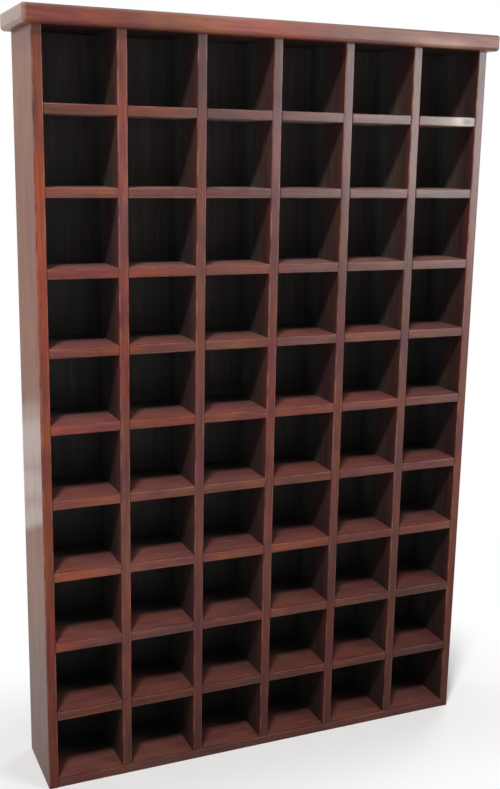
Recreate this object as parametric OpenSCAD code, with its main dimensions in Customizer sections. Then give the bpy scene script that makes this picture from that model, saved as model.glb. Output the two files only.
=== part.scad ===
// Free-standing rack of open cells for CDs, in solid wood. Units are millimetres.
// The rack stands on z = 0 with its front facing -Y and its width along X.
// The origin is the middle of the footprint of the whole rack, overhanging top included.

/* [Cells] */
// Columns of cells, side by side
columns = 6; // [2:1:8]
// Rows of cells, one above the other
rows = 10; // [2:1:12]
// Clear width of a cell
cell_w = 140; // [120:1:220]
// Clear height of a cell
cell_h = 133.5; // [110:0.5:220]
// Clear height of the cells in the top row
top_cell_h = 137.5; // [110:0.5:220]
// Clear depth of a cell, from the front edges to the back boards
cell_d = 158; // [130:1:260]

/* [Boards] */
// Thickness of the two side panels
side_t = 20; // [18:0.5:30]
// Thickness of the upright dividers
divider_t = 20; // [15:0.5:30]
// Thickness of the shelves
shelf_t = 19; // [15:0.5:30]
// Thickness of the bottom board
bottom_t = 19; // [16:0.5:30]
// Thickness of the back boards
back_t = 19; // [14:0.5:25]
// Thickness of the top board
top_t = 33; // [28:0.5:45]
// How far the top board stands out past the front and past each side
overhang = 20; // [12:1:40]

/* [Edges] */
// Radius on the front arrises of the sides, dividers, shelves and bottom board
arris_r = 1.5; // [0.5:0.25:3]
// Radius along the upper edge of the top board
top_upper_r = 5; // [2:0.5:10]
// Radius along the lower edge of the top board
top_lower_r = 8; // [2:0.5:11]
// Radius on the two upright front corners of the top board
top_corner_r = 4; // [2:0.5:10]
// Chamfer along the edges of each back board's rear face
board_chamfer = 1.5; // [0.5:0.25:2.5]

/* [Joints] */
// Depth of the housings in the sides that hold the shelf ends
side_housing = 8; // [4:0.5:10]
// Depth of the housings under the top board
top_housing = 8; // [4:0.5:10]
// Depth of the housings in the bottom board that hold the dividers
foot_housing = 5; // [3:0.5:8]
// Distance from the front edge at which a stopped housing ends
housing_stop = 12; // [8:1:24]
// Width of the rebate in each side that takes the back boards
rebate_w = 10; // [7:0.5:12]
// Length of the tongue on a back board
tongue_l = 6; // [3:0.5:7]
// Thickness of the tongue on a back board
tongue_t = 6; // [4:0.5:8]
// Gap between neighbouring back boards, for the wood to move
board_gap = 1; // [0.5:0.1:2]
// Clearance on each side of a board in its slot or housing
fit_gap = 0.1; // [0.05:0.05:0.3]
// Clearance at the end of a board, tongue or dowel in its housing or hole
end_gap = 0.5; // [0.2:0.1:1]

/* [Fasteners] */
// Diameter of the dowels
dowel_d = 8; // [6:1:10]
// Clearance round a dowel or a screw in its hole
hole_gap = 0.05; // [0.02:0.01:0.15]
// Distance of the dowels from the front edge and from the back boards
dowel_inset = 35; // [20:1:50]
// Depth of a dowel in the top board, above its housing
dowel_up = 16; // [10:1:17]
// Depth of a dowel in the upper end of a side or divider
dowel_down = 24; // [15:1:35]
// Depth of a dowel in a side, beyond the housing of the bottom board
dowel_out = 6; // [3:0.5:7]
// Depth of a dowel in the end of the bottom board
dowel_in = 24; // [15:1:35]
// Length of a back screw
screw_l = 45; // [35:1:60]
// Diameter of a back screw's shank
screw_d = 4; // [3:0.5:5]
// Diameter of a back screw's head
screw_head_d = 8; // [7:0.5:10]
// Shelves from one row of back screws to the next
screw_step = 2; // [1:1:4]

/* [Hidden] */
// Fineness of curves
$fn = 32;
// Overcut that keeps a cutting tool clear of the face it starts from
cut = 1;
// Length, width and depth of the cross recess in a screw head
recess_l = 4.4;
recess_w = 1.2;
recess_d = 1.6;

col_pitch = cell_w + divider_t;
row_pitch = cell_h + shelf_t;
inner_w = columns * cell_w + (columns - 1) * divider_t;
rack_w = inner_w + 2 * side_t;
rack_d = cell_d + back_t;
side_h = bottom_t + (rows - 1) * row_pitch + top_cell_h;
top_w = rack_w + 2 * overhang;
top_d = rack_d + overhang;
back_y = top_d / 2;
front_y = back_y - rack_d;
board_y = front_y + cell_d;
lap_y = front_y + cell_d / 2;
dowel_ys = [front_y + dowel_inset, board_y - dowel_inset];
screw_head_h = (screw_head_d - screw_d) / 2;

dividers = [1 : columns - 1];
shelves = [1 : rows - 1];
boards = [1 : columns];
screw_rows = [for (i = shelves) if (has_screws(i)) i];

// Middle of divider i, counted from the left
function divider_x(i) = i * col_pitch - divider_t / 2 - inner_w / 2;
// Middle of shelf i, counted from the top
function shelf_z(i) = side_h - top_cell_h - shelf_t / 2 - (i - 1) * row_pitch;
// Middle of column i, counted from the left
function column_x(i) = divider_x(i) - (divider_t + cell_w) / 2;
// Whether the back boards are screwed to shelf i
function has_screws(i) = (i - 1) % screw_step == 0;
// Left and right edges of the space for back board i
function board_left(i) = i == 1 ? -inner_w / 2 - rebate_w : divider_x(i - 1);
function board_right(i) = i == columns ? inner_w / 2 + rebate_w : divider_x(i);

side_color = [0.50, 0.27, 0.22];
top_color = [0.57, 0.34, 0.28];
divider_color = [0.48, 0.25, 0.21];
shelf_color = [0.44, 0.23, 0.19];
back_color = [0.24, 0.14, 0.12];
dowel_color = [0.80, 0.66, 0.46];
screw_color = [0.72, 0.66, 0.45];

// A box given by its lowest and highest corners
module span(low, high) {
    translate(low) cube(high - low);
}

// Children drawn for the right side (s = 1) or mirrored to the left side (s = -1)
module on_side(s) {
    mirror([s < 0 ? 1 : 0, 0, 0]) children();
}

// Section of a board: depth along x, thickness along y, arrises eased at the front, x = 0
module eased_section(depth, thickness) {
    translate([arris_r, 0]) square([depth - arris_r, thickness]);
    translate([0, arris_r]) square([depth, thickness - 2 * arris_r]);
    for (y = [arris_r, thickness - arris_r]) translate([arris_r, y]) circle(r = arris_r);
}

// A board that stands upright, its middle at x, from z_low to z_high
module upright_board(x, z_low, z_high, depth, thickness) {
    translate([x - thickness / 2, front_y, z_low])
        linear_extrude(height = z_high - z_low)
            mirror([1, -1, 0]) eased_section(depth, thickness);
}

// A board that lies flat, its middle at height z, reaching half_w to each side
module flat_board(z, half_w, thickness) {
    translate([-half_w, front_y, z - thickness / 2])
        rotate([90, 0, 90])
            linear_extrude(height = 2 * half_w) eased_section(cell_d, thickness);
}

// A flat board whose ends go into stopped housings in the sides, so its front corners are notched
module housed_board(z, thickness) {
    end_x = inner_w / 2 + side_housing - end_gap;
    difference() {
        flat_board(z, end_x, thickness);
        for (s = [-1, 1])
            on_side(s)
                span([inner_w / 2 - fit_gap, front_y - cut, z - thickness / 2 - cut],
                     [end_x + cut, front_y + housing_stop + fit_gap, z + thickness / 2 + cut]);
    }
}

// Upright holes for the dowels between the board at x and the top board
module top_dowel_set(x, radius, extra) {
    seat_z = side_h + top_housing;
    for (y = dowel_ys)
        translate([x, y, seat_z - dowel_down - extra])
            cylinder(r = radius, h = dowel_down + dowel_up + 2 * extra);
}

// Level holes or dowels between the bottom board and the side on side s
module bottom_dowel_set(s, radius, extra) {
    seat_x = inner_w / 2 + side_housing;
    for (y = dowel_ys)
        translate([s * (seat_x - dowel_in - extra), y, bottom_t / 2])
            rotate([0, s * 90, 0])
                cylinder(r = radius, h = dowel_in + dowel_out + 2 * extra);
}

module side_panel(s) {
    mid_x = inner_w / 2 + side_t / 2;
    on_side(s)
        difference() {
            upright_board(mid_x, 0, side_h + top_housing, rack_d, side_t);
            // Rebate for the back boards
            span([inner_w / 2 - cut, board_y, -cut],
                 [inner_w / 2 + rebate_w, back_y + cut, side_h + top_housing + cut]);
            // Stopped housings for the shelves
            for (i = shelves)
                span([inner_w / 2 - cut, front_y + housing_stop, shelf_z(i) - shelf_t / 2 - fit_gap],
                     [inner_w / 2 + side_housing, board_y + cut, shelf_z(i) + shelf_t / 2 + fit_gap]);
            // Stopped housing for the bottom board, open to the floor
            span([inner_w / 2 - cut, front_y + housing_stop, -cut],
                 [inner_w / 2 + side_housing, board_y + cut, bottom_t + fit_gap]);
            top_dowel_set(mid_x, dowel_d / 2 + hole_gap, end_gap);
            bottom_dowel_set(1, dowel_d / 2 + hole_gap, end_gap);
        }
}

module side_left() {
    color(side_color) side_panel(-1);
}

module side_right() {
    color(side_color) side_panel(1);
}

// Section of the top board's edge: reach along x, height along y, rounded at x = reach
module top_edge_section(reach) {
    square([reach - top_lower_r, top_t]);
    translate([0, top_lower_r]) square([reach, top_t - top_lower_r - top_upper_r]);
    translate([0, top_lower_r]) square([reach - top_upper_r, top_t - top_lower_r]);
    translate([reach - top_lower_r, top_lower_r]) circle(r = top_lower_r);
    translate([reach - top_upper_r, top_t - top_upper_r]) circle(r = top_upper_r);
}

// The top board without its joints: square at the back, rounded along the front and both ends
module top_blank() {
    intersection() {
        // Rounded along the front
        translate([-top_w / 2, back_y, side_h])
            rotate([90, 0, 90])
                linear_extrude(height = top_w) mirror([1, 0, 0]) top_edge_section(top_d);
        // Rounded along both ends
        translate([0, back_y, side_h])
            rotate([90, 0, 0])
                linear_extrude(height = top_d) {
                    top_edge_section(top_w / 2);
                    mirror([1, 0, 0]) top_edge_section(top_w / 2);
                }
        // Rounded at the two upright front corners
        translate([0, 0, side_h])
            linear_extrude(height = top_t) {
                translate([-top_w / 2, top_corner_r - top_d / 2]) square([top_w, top_d - top_corner_r]);
                translate([top_corner_r - top_w / 2, -top_d / 2])
                    square([top_w - 2 * top_corner_r, top_corner_r]);
                for (s = [-1, 1])
                    translate([s * (top_w / 2 - top_corner_r), top_corner_r - top_d / 2])
                        circle(r = top_corner_r);
            }
    }
}

module top_board() {
    housing_top = side_h + top_housing;
    color(top_color)
        difference() {
            top_blank();
            // Housings for the sides
            for (s = [-1, 1])
                on_side(s)
                    span([inner_w / 2 - fit_gap, front_y - fit_gap, side_h - cut],
                         [rack_w / 2 + fit_gap, back_y + cut, housing_top]);
            // Housings for the dividers
            for (i = dividers)
                span([divider_x(i) - divider_t / 2 - fit_gap, front_y - fit_gap, side_h - cut],
                     [divider_x(i) + divider_t / 2 + fit_gap, board_y + cut, housing_top]);
            // Rebate for the upper ends of the back boards
            span([-rack_w / 2, board_y, side_h - cut], [rack_w / 2, back_y + cut, housing_top]);
            for (s = [-1, 1])
                top_dowel_set(s * (inner_w + side_t) / 2, dowel_d / 2 + hole_gap, end_gap);
            for (i = dividers) top_dowel_set(divider_x(i), dowel_d / 2 + hole_gap, end_gap);
        }
}

// Holes for the screw shanks in the back edge of a shelf or of the bottom board, at height z
module screw_bores(z) {
    for (i = boards)
        translate([column_x(i), back_y - screw_l - end_gap, z])
            rotate([-90, 0, 0])
                cylinder(r = screw_d / 2 + hole_gap, h = screw_l + end_gap + cut);
}

module bottom_board() {
    half_t = divider_t / 2;
    color(shelf_color)
        difference() {
            housed_board(bottom_t / 2, bottom_t);
            // Stopped housings for the dividers
            for (i = dividers)
                span([divider_x(i) - half_t - fit_gap, front_y + housing_stop, bottom_t - foot_housing],
                     [divider_x(i) + half_t + fit_gap, board_y + cut, bottom_t + cut]);
            for (s = [-1, 1]) bottom_dowel_set(s, dowel_d / 2 + hole_gap, end_gap);
            screw_bores(bottom_t / 2);
        }
}

// Divider i: halved from the back where each shelf crosses it, so it runs unbroken at the front
module divider(i) {
    x = divider_x(i);
    half_t = divider_t / 2;
    color(divider_color)
        difference() {
            upright_board(x, bottom_t - foot_housing, side_h + top_housing, cell_d, divider_t);
            // Notch at the foot, in front of the stopped housing
            span([x - half_t - cut, front_y - cut, bottom_t - foot_housing - cut],
                 [x + half_t + cut, front_y + housing_stop + fit_gap, bottom_t]);
            // Slots for the shelves
            for (k = shelves)
                span([x - half_t - cut, lap_y, shelf_z(k) - shelf_t / 2 - fit_gap],
                     [x + half_t + cut, board_y + cut, shelf_z(k) + shelf_t / 2 + fit_gap]);
            top_dowel_set(x, dowel_d / 2 + hole_gap, end_gap);
        }
}

// Shelf i: halved from the front where each divider crosses it
module shelf(i) {
    z = shelf_z(i);
    slot_w = divider_t / 2 + fit_gap;
    color(shelf_color)
        difference() {
            housed_board(z, shelf_t);
            for (k = dividers)
                span([divider_x(k) - slot_w, front_y - cut, z - shelf_t / 2 - cut],
                     [divider_x(k) + slot_w, lap_y + end_gap, z + shelf_t / 2 + cut]);
            if (has_screws(i)) screw_bores(z);
        }
}

// Plan of back board i: depth along y from 0 at its front face, rear arrises chamfered
module board_plan(i) {
    left = board_left(i) + board_gap / 2;
    right = board_right(i) - board_gap / 2;
    tongue_y = (back_t - tongue_t) / 2;
    difference() {
        union() {
            polygon([[left, 0], [right, 0], [right, back_t - board_chamfer],
                     [right - board_chamfer, back_t], [left + board_chamfer, back_t],
                     [left, back_t - board_chamfer]]);
            if (i < columns)
                translate([right - cut, tongue_y]) square([tongue_l + cut, tongue_t]);
        }
        if (i > 1)
            translate([left - cut, tongue_y - fit_gap])
                square([tongue_l - board_gap + end_gap + cut, tongue_t + 2 * fit_gap]);
    }
}

// A back screw's bore through a board, with its countersink
module screw_seat() {
    shank_r = screw_d / 2 + hole_gap;
    head_r = screw_head_d / 2 + hole_gap;
    rotate([-90, 0, 0]) {
        cylinder(r = shank_r, h = back_t + 2 * cut);
        translate([0, 0, back_t + cut - screw_head_h])
            cylinder(r1 = shank_r, r2 = head_r, h = screw_head_h);
        translate([0, 0, back_t + cut]) cylinder(r = head_r, h = cut);
    }
}

module back_board(i) {
    color(back_color)
        difference() {
            translate([0, board_y, 0])
                linear_extrude(height = side_h + top_housing - end_gap) board_plan(i);
            for (k = screw_rows)
                translate([column_x(i), board_y - cut, shelf_z(k)]) screw_seat();
            translate([column_x(i), board_y - cut, bottom_t / 2]) screw_seat();
        }
}

module top_dowels() {
    color(dowel_color) {
        for (s = [-1, 1]) top_dowel_set(s * (inner_w + side_t) / 2, dowel_d / 2, 0);
        for (i = dividers) top_dowel_set(divider_x(i), dowel_d / 2, 0);
    }
}

module bottom_dowels() {
    color(dowel_color)
        for (s = [-1, 1]) bottom_dowel_set(s, dowel_d / 2, 0);
}

// A countersunk screw that points to -Y, its head's face at y = 0
module back_screw() {
    difference() {
        rotate([90, 0, 0]) {
            cylinder(r = screw_d / 2, h = screw_l);
            cylinder(r1 = screw_head_d / 2, r2 = screw_d / 2, h = screw_head_h);
        }
        for (turn = [0, 90])
            rotate([0, turn, 0])
                span([-recess_l / 2, -recess_d, -recess_w / 2], [recess_l / 2, cut, recess_w / 2]);
    }
}

module back_screws() {
    color(screw_color)
        for (i = boards) {
            for (k = screw_rows) translate([column_x(i), back_y, shelf_z(k)]) back_screw();
            translate([column_x(i), back_y, bottom_t / 2]) back_screw();
        }
}

side_left();
side_right();
top_board();
bottom_board();
for (i = dividers) divider(i);
for (i = shelves) shelf(i);
for (i = boards) back_board(i);
top_dowels();
bottom_dowels();
back_screws();
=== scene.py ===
"""Free-standing rack of sixty open cells for CDs, in stained mahogany, dressed for rendering."""

import math
import random

import bmesh
import bpy
from bpy.props import FloatProperty, FloatVectorProperty, IntProperty, PointerProperty
from bpy.types import Operator, Panel, PropertyGroup
from mathutils import Matrix, Vector, noise


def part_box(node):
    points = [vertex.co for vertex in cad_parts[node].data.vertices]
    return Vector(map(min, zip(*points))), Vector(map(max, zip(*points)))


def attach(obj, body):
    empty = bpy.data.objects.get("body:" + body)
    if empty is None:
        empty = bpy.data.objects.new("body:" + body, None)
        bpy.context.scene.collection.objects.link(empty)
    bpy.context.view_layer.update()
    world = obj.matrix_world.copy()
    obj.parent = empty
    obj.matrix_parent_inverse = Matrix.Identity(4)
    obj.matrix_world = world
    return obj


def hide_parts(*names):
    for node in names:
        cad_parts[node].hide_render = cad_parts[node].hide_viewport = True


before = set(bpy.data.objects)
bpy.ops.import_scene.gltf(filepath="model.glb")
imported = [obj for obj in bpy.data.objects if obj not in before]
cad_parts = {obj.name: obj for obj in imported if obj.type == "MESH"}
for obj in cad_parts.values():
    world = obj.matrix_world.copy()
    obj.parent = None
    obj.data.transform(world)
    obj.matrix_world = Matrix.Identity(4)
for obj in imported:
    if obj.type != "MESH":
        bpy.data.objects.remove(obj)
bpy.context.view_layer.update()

bl_info = {
    "name": "CD rack",
    "version": (1, 0, 0),
    "blender": (4, 5, 0),
    "location": "3D View > Sidebar > CD rack",
    "description": "Builds a mahogany rack of open cells board by board, with its joints, finish and studio",
    "category": "Object",
}

X, Y, Z = 0, 1, 2
BODY = "root"

# What the frame says about the rack, in metres
DIVIDERS = sorted(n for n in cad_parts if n.startswith("divider_"))
SHELVES = sorted(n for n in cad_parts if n.startswith("shelf_"))
BACK_BOARDS = sorted(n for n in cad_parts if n.startswith("back_board_"))
BOTTOM_LOW, BOTTOM_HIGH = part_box("bottom_board")
SIDE_LOW, SIDE_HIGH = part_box("side_right")
FRONT_Y = BOTTOM_LOW.y
BOARD_Y = BOTTOM_HIGH.y
BACK_Y = SIDE_HIGH.y
INNER_X = SIDE_LOW.x
OUTER_X = SIDE_HIGH.x
BOTTOM_T = BOTTOM_HIGH.z
DOWEL_LOW, DOWEL_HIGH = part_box("bottom_dowels")
DOWEL_R = (DOWEL_HIGH.z - DOWEL_LOW.z) / 2
DOWEL_YS = (DOWEL_LOW.y + DOWEL_R, DOWEL_HIGH.y - DOWEL_R)
DOWEL_FOOT, DOWEL_HEAD = (corner.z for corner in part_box("top_dowels"))
SCREW_LOW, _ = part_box("back_screws")
HEAD_R = BOTTOM_T / 2 - SCREW_LOW.z
DRILL_SIDES = 24  # Facets round a bore


def middle(node, axis):
    """Middle of a node along one axis."""
    low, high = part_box(node)
    return (low[axis] + high[axis]) / 2


def thickness(node, axis):
    """Thickness of a node along one axis."""
    low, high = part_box(node)
    return high[axis] - low[axis]


DIVIDER_XS = [middle(n, X) for n in DIVIDERS]
SHELF_ZS = sorted((middle(n, Z) for n in SHELVES), reverse=True)
DIVIDER_T = thickness(DIVIDERS[0], X)
SHELF_T = thickness(SHELVES[0], Z)
PITCH_X = DIVIDER_XS[1] - DIVIDER_XS[0]
COLUMN_XS = [DIVIDER_XS[0] - PITCH_X / 2 + PITCH_X * i for i in range(len(DIVIDER_XS) + 1)]
SCREWED_ZS = SHELF_ZS[::2]


def length(name, text, default, low, high):
    """A size in metres."""
    return FloatProperty(
        name=name, description=text, default=default, min=low, max=high,
        precision=5, subtype="DISTANCE", unit="LENGTH",
    )


def share(name, text, default, high=1.0):
    """A plain factor from 0 up."""
    return FloatProperty(name=name, description=text, default=default, min=0.0, max=high, subtype="FACTOR")


def watts(name, text, default):
    """The power of a lamp."""
    return FloatProperty(name=name, description=text, default=default, min=0.0, unit="POWER")


def colour(name, text, default):
    """A colour, as linear red, green and blue."""
    return FloatVectorProperty(
        name=name, description=text, default=default, size=3, min=0.0, max=1.0, subtype="COLOR"
    )


class RackJoints(PropertyGroup):
    """Housings, laps and gaps, as the frame has them."""

    side_housing: length("Side housing", "Depth of the housings in the sides", 0.008, 0.004, 0.012)
    top_housing: length("Top housing", "Depth of those under the top board", 0.008, 0.004, 0.012)
    foot_housing: length("Foot housing", "Depth of those in the bottom board", 0.005, 0.003, 0.008)
    housing_stop: length("Housing stop", "How far behind the front they stop", 0.012, 0.008, 0.024)
    rebate: length("Back rebate", "Width of the rebate in the sides", 0.010, 0.007, 0.012)
    fit: length("Fit gap", "Clearance on each side of a board in its slot", 0.0001, 0.00005, 0.0003)
    end_gap: length("End gap", "Clearance at the end of a lap, tongue or dowel", 0.0005, 0.0002, 0.001)
    tongue: length("Tongue length", "Length of a back board's tongue", 0.006, 0.003, 0.007)
    tongue_t: length("Tongue thickness", "Thickness of a back board's tongue", 0.006, 0.004, 0.008)
    board_gap: length("Board gap", "Gap between two back boards", 0.001, 0.0005, 0.002)
    dowel_in: length("Dowel depth", "Depth of a dowel in the bottom board", 0.024, 0.015, 0.035)
    hole_gap: length("Hole gap", "Clearance round a dowel or a screw", 0.00005, 0.00002, 0.00015)
    shank_r: length("Shank radius", "Radius of a back screw's shank", 0.002, 0.0015, 0.0025)


class RackEdges(PropertyGroup):
    """How edges are eased and how far the boards are from dead true."""

    arris: length("Arris radius", "Radius of the uprights' front edges", 0.0026, 0.0005, 0.003)
    shelf_arris: length("Shelf arris", "Radius of the shelves' front edges", 0.002, 0.0005, 0.003)
    joint_ease: length("Joint easing", "Rounding where two boards meet", 0.0004, 0.0001, 0.001)
    top_upper: length("Top upper radius", "Radius of the top's upper edge", 0.005, 0.002, 0.010)
    top_lower: length("Top lower radius", "Radius of the top's lower edge", 0.008, 0.002, 0.011)
    top_corner: length("Top corner radius", "Radius of the top's front corners", 0.008, 0.002, 0.010)
    board_chamfer: length("Board chamfer", "Chamfer behind a back board", 0.0015, 0.0005, 0.0025)
    waver: length("Waver", "How far a front edge strays from true", 0.00025, 0.0, 0.001)
    waver_span: length("Waver length", "Distance from swell to swell", 0.18, 0.05, 0.6)
    slice_span: length("Slice length", "Distance between cross cuts", 0.022, 0.01, 0.1)
    arris_steps: IntProperty(
        name="Arris steps", description="Facets across a rounded edge", default=4, min=1, max=12)


class RackFinish(PropertyGroup):
    """Stain, lacquer and metal."""

    top_stain: colour("Top stain", "Front of the top board", (0.200, 0.052, 0.030))
    side_stain: colour("Side stain", "Front edges of the sides", (0.205, 0.042, 0.022))
    divider_stain: colour("Divider stain", "Front edges of the dividers", (0.158, 0.042, 0.032))
    shelf_stain: colour("Shelf stain", "Front edges of the shelves", (0.170, 0.046, 0.032))
    # The cell walls' colours are painted shade: darker further in, and a pale bluish grey at the back that
    # offsets the reddish light bounced in the cells
    wall_near: colour("Wall near", "Cell walls just behind the front", (0.114, 0.039, 0.033))
    wall_mid: colour("Wall middle", "Cell walls further in", (0.068, 0.036, 0.033))
    wall_half: colour("Wall half way", "Cell walls half way in", (0.058, 0.039, 0.036))
    wall_deep: colour("Wall deep", "Dusty cell walls at the back", (0.086, 0.094, 0.100))
    # The shelf tops' colours carry painted light and shade: lighter than the fronts just behind them, darker
    # and greyer towards the back
    shelf_near: colour("Shelf near", "Shelf tops just behind the front", (0.200, 0.067, 0.057))
    shelf_mid: colour("Shelf middle", "Shelf tops further in", (0.178, 0.061, 0.052))
    shelf_deep: colour("Shelf deep", "Shelf tops at the back", (0.045, 0.042, 0.042))
    # Painted shade: the wood under the top board is dark where it lies in shade
    underside: colour("Underside", "Wood under the top board", (0.030, 0.019, 0.016))
    # The outer faces' colours carry painted sheen: paler and greyer than the fronts
    outer_head: colour("Outer head", "Faded outer faces near the top", (0.245, 0.088, 0.047))
    outer_foot: colour("Outer foot", "Faded outer faces at the foot", (0.190, 0.096, 0.072))
    back_stain: colour("Back stain", "Back boards, inside the cells", (0.047, 0.039, 0.038))
    back_outside: colour("Back outside", "Back boards, on the wall side", (0.060, 0.040, 0.032))
    # Pale front edges: partly wear, partly a painted highlight along the arrises
    worn_and_highlight: colour("Worn edge", "Wood where an edge is rubbed", (0.42, 0.23, 0.18))
    # Painted glare at the top shelf's end, and painted sheen on the top board's ends
    painted_glare: colour("Pale mark", "Pale lacquer at the top shelf's end", (0.64, 0.56, 0.45))
    knot: colour("Knot", "Knot at the end of the top shelf", (0.09, 0.075, 0.08))
    # A greyer colour along the top's upper edge
    top_rim_grey: colour("Top dirt", "Dirt along the top's upper edge", (0.15, 0.12, 0.11))
    # Painted highlight low on the top's front
    top_painted_highlight: colour("Top pale patch", "Pale patch on the top's front", (0.62, 0.46, 0.30))
    dowel: colour("Dowel", "Bare beech of the dowels", (0.60, 0.40, 0.18))
    # Painted sheen on the highest shelf tops
    grazing_sheen: colour("Haze", "Dust on the highest shelves", (0.36, 0.25, 0.24))
    screw: colour("Screw", "Plated steel of the screws", (0.60, 0.52, 0.30))
    # Strength of the pale edges, partly wear and partly painted highlight
    wear_and_highlight: share("Edge wear", "How much the front edges are rubbed pale", 0.40)
    # Levels of painted shade on the fronts: at the foot, under the top and at the right end
    shelf_foot: share("Shelf foot shade", "Level of the bottom board's front", 0.46)
    upright_foot: share("Upright foot shade", "Level of the uprights' feet", 0.36)
    head_shade: share("Head shade", "Level of the front under the top", 0.60)
    right_shade: share("Right shade", "Level at the right end", 0.66)
    lacquer: share("Lacquer", "Clear coat at the upper right", 1.0)
    thin_lacquer: share("Thin lacquer", "Clear coat at the left and the foot", 0.06)
    lacquer_roughness: share("Lacquer roughness", "Roughness of the clear coat", 0.30)


class RackStudio(PropertyGroup):
    """Floor, lamps, background and camera."""

    floor: colour("Floor", "Colour of the floor", (0.93, 0.93, 0.93))
    floor_radius: length("Floor radius", "Radius of the floor", 14.0, 3.0, 40.0)
    clear_from: length("Clear from", "Distance at which the floor starts to fade", 0.0, 0.0, 5.0)
    clear_to: length("Clear to", "Distance at which the floor is plain white", 0.42, 0.1, 10.0)
    ambient: share("Ambient", "Level of the light from all round", 0.20, 2.0)
    key_power: watts("Key power", "Lamp above the front left", 240)
    right_power: watts("Right power", "Lamp above the front right", 20)
    sheen_power: watts("Sheen power", "Lamp that the upper right mirrors", 66)
    rear_power: watts("Rear power", "Each lamp behind", 40)


# Shaping

WELD = 1e-6  # Points closer than this become one
SLACK = 1e-5  # Places closer than this are the same
FOLD = 0.6  # Faces make an edge from this angle up, in radians
SHARP_ANGLE = math.radians(38)  # Shading breaks from this angle up
FIRST_CUT = 0.37  # Where a board's first cross cut lies in its first step
WAVER_REACH = 0.010  # How far behind its front a board wavers
EASE_REACH = 0.004  # How far behind its front a shelf's joints are eased
RIM_REACH = 0.010  # How far outside the sides the top board's rim lies, at least
REAR_STEPS, CORNER_STEPS, UPPER_STEPS, LOWER_STEPS = 2, 5, 6, 8  # Facets across an edge
BOARD_STEP, AXIS_STEP = 7.31, 3.7  # From board to board, and from axis to axis, in the noise
GRAIN_SPREAD = 20  # How far apart the boards' grain may lie


def slice_at(bm, axis, places):
    """Cuts all faces at each place along an axis."""
    for place in places:
        point, normal = Vector(), Vector()
        point[axis], normal[axis] = place, 1.0
        everything = bm.verts[:] + bm.edges[:] + bm.faces[:]
        bmesh.ops.bisect_plane(bm, geom=everything, dist=WELD, plane_co=point, plane_no=normal)


def slice_evenly(bm, axis, span):
    """Cuts a board across at even steps."""
    places = [v.co[axis] for v in bm.verts]
    low, high = min(places), max(places)
    steps = max(1, round((high - low) / span))
    slice_at(bm, axis, [low + (high - low) * (i + FIRST_CUT) / steps for i in range(steps)])


def lay_sheet(u, v, w, us, vs, level):
    """A flat sheet on axes u and v, at a level of axis w, cut at every place in us and vs."""
    us, vs = sorted(us), sorted(vs)
    bm = bmesh.new()
    corners = []
    for a, b in ((us[0], vs[0]), (us[-1], vs[0]), (us[-1], vs[-1]), (us[0], vs[-1])):
        place = Vector()
        place[u], place[v], place[w] = a, b, level
        corners.append(bm.verts.new(place))
    bm.faces.new(corners)
    slice_at(bm, u, us[1:-1])
    slice_at(bm, v, vs[1:-1])
    return bm


def drop(bm, inside):
    """Removes the faces whose middle lies inside a notch."""
    gone = [f for f in bm.faces if inside(f.calc_center_median())]
    bmesh.ops.delete(bm, geom=gone, context="FACES")


def grow(bm, faces, axis, amount):
    """Draws faces out along an axis and returns the faces at their new place."""
    region = set(faces)
    edges = [e for e in bm.edges if any(f in region for f in e.link_faces)]
    made = bmesh.ops.extrude_face_region(bm, geom=faces + edges)["geom"]
    step = Vector()
    step[axis] = amount
    bmesh.ops.translate(bm, vec=step, verts=[g for g in made if isinstance(g, bmesh.types.BMVert)])
    return [g for g in made if isinstance(g, bmesh.types.BMFace)]


def keep_faces(faces, inside):
    """The faces whose middle lies outside every pocket."""
    return [f for f in faces if not inside(f.calc_center_median())]


def close_up(bm):
    """Joins doubled points and turns every face outwards."""
    bmesh.ops.remove_doubles(bm, verts=bm.verts[:], dist=WELD)
    bmesh.ops.recalc_face_normals(bm, faces=bm.faces[:])


def ease(bm, radius, steps, on, wanted=lambda edge: True):
    """Rounds the sharp edges with both ends where on says, if they are wanted."""
    rounded = [
        e for e in bm.edges
        if len(e.link_faces) == 2 and e.calc_face_angle(0.0) > FOLD
        and all(on(v.co) for v in e.verts) and wanted(e)
    ]
    bmesh.ops.bevel(
        bm, geom=rounded, offset=radius, offset_type="OFFSET", segments=steps, profile=0.5,
        affect="EDGES", clamp_overlap=False, material=-1,
    )


def put(name, data):
    """Puts a new object in the scene."""
    item = bpy.data.objects.new(name, data)
    bpy.context.scene.collection.objects.link(item)
    return item


def either_side(places, gap):
    """The places a gap before and a gap behind each place."""
    return [place + step for place in places for step in (-gap, gap)]


def within(value, places, gap):
    """Whether a value lies less than a gap from one of some places."""
    return any(abs(value - place) < gap for place in places)


def near(value, *places):
    """Whether a value is the same as one of some places."""
    return within(value, places, SLACK)


def ease_front(bm, node, axis, radius):
    """Rounds both long edges of a board's front."""
    low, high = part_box(node)
    steps = bpy.context.scene.rack_edges.arris_steps
    ease(bm, radius, steps, lambda p: near(p.y, low.y) and near(p[axis], low[axis], high[axis]))


def waver(bm, along, across, front_y, seed, reach=WAVER_REACH, strength=1.0):
    """Cuts a board across and moves its points a little, as planing by hand leaves them.

    Each axis in across has the way that its points lean: 1 or -1 for one way only, 0 for both.
    """
    edges = bpy.context.scene.rack_edges
    slice_evenly(bm, along, edges.slice_span)
    for v in bm.verts:
        place = Vector((v.co[along] / edges.waver_span, seed * BOARD_STEP, 0.0))
        for turn, (axis, lean) in enumerate(across.items()):
            place.z = AXIS_STEP * turn
            weight = strength * max(0.0, 1 - (v.co.y - front_y) / reach)
            v.co[axis] += (noise.noise(place) + lean) * edges.waver * weight


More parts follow.
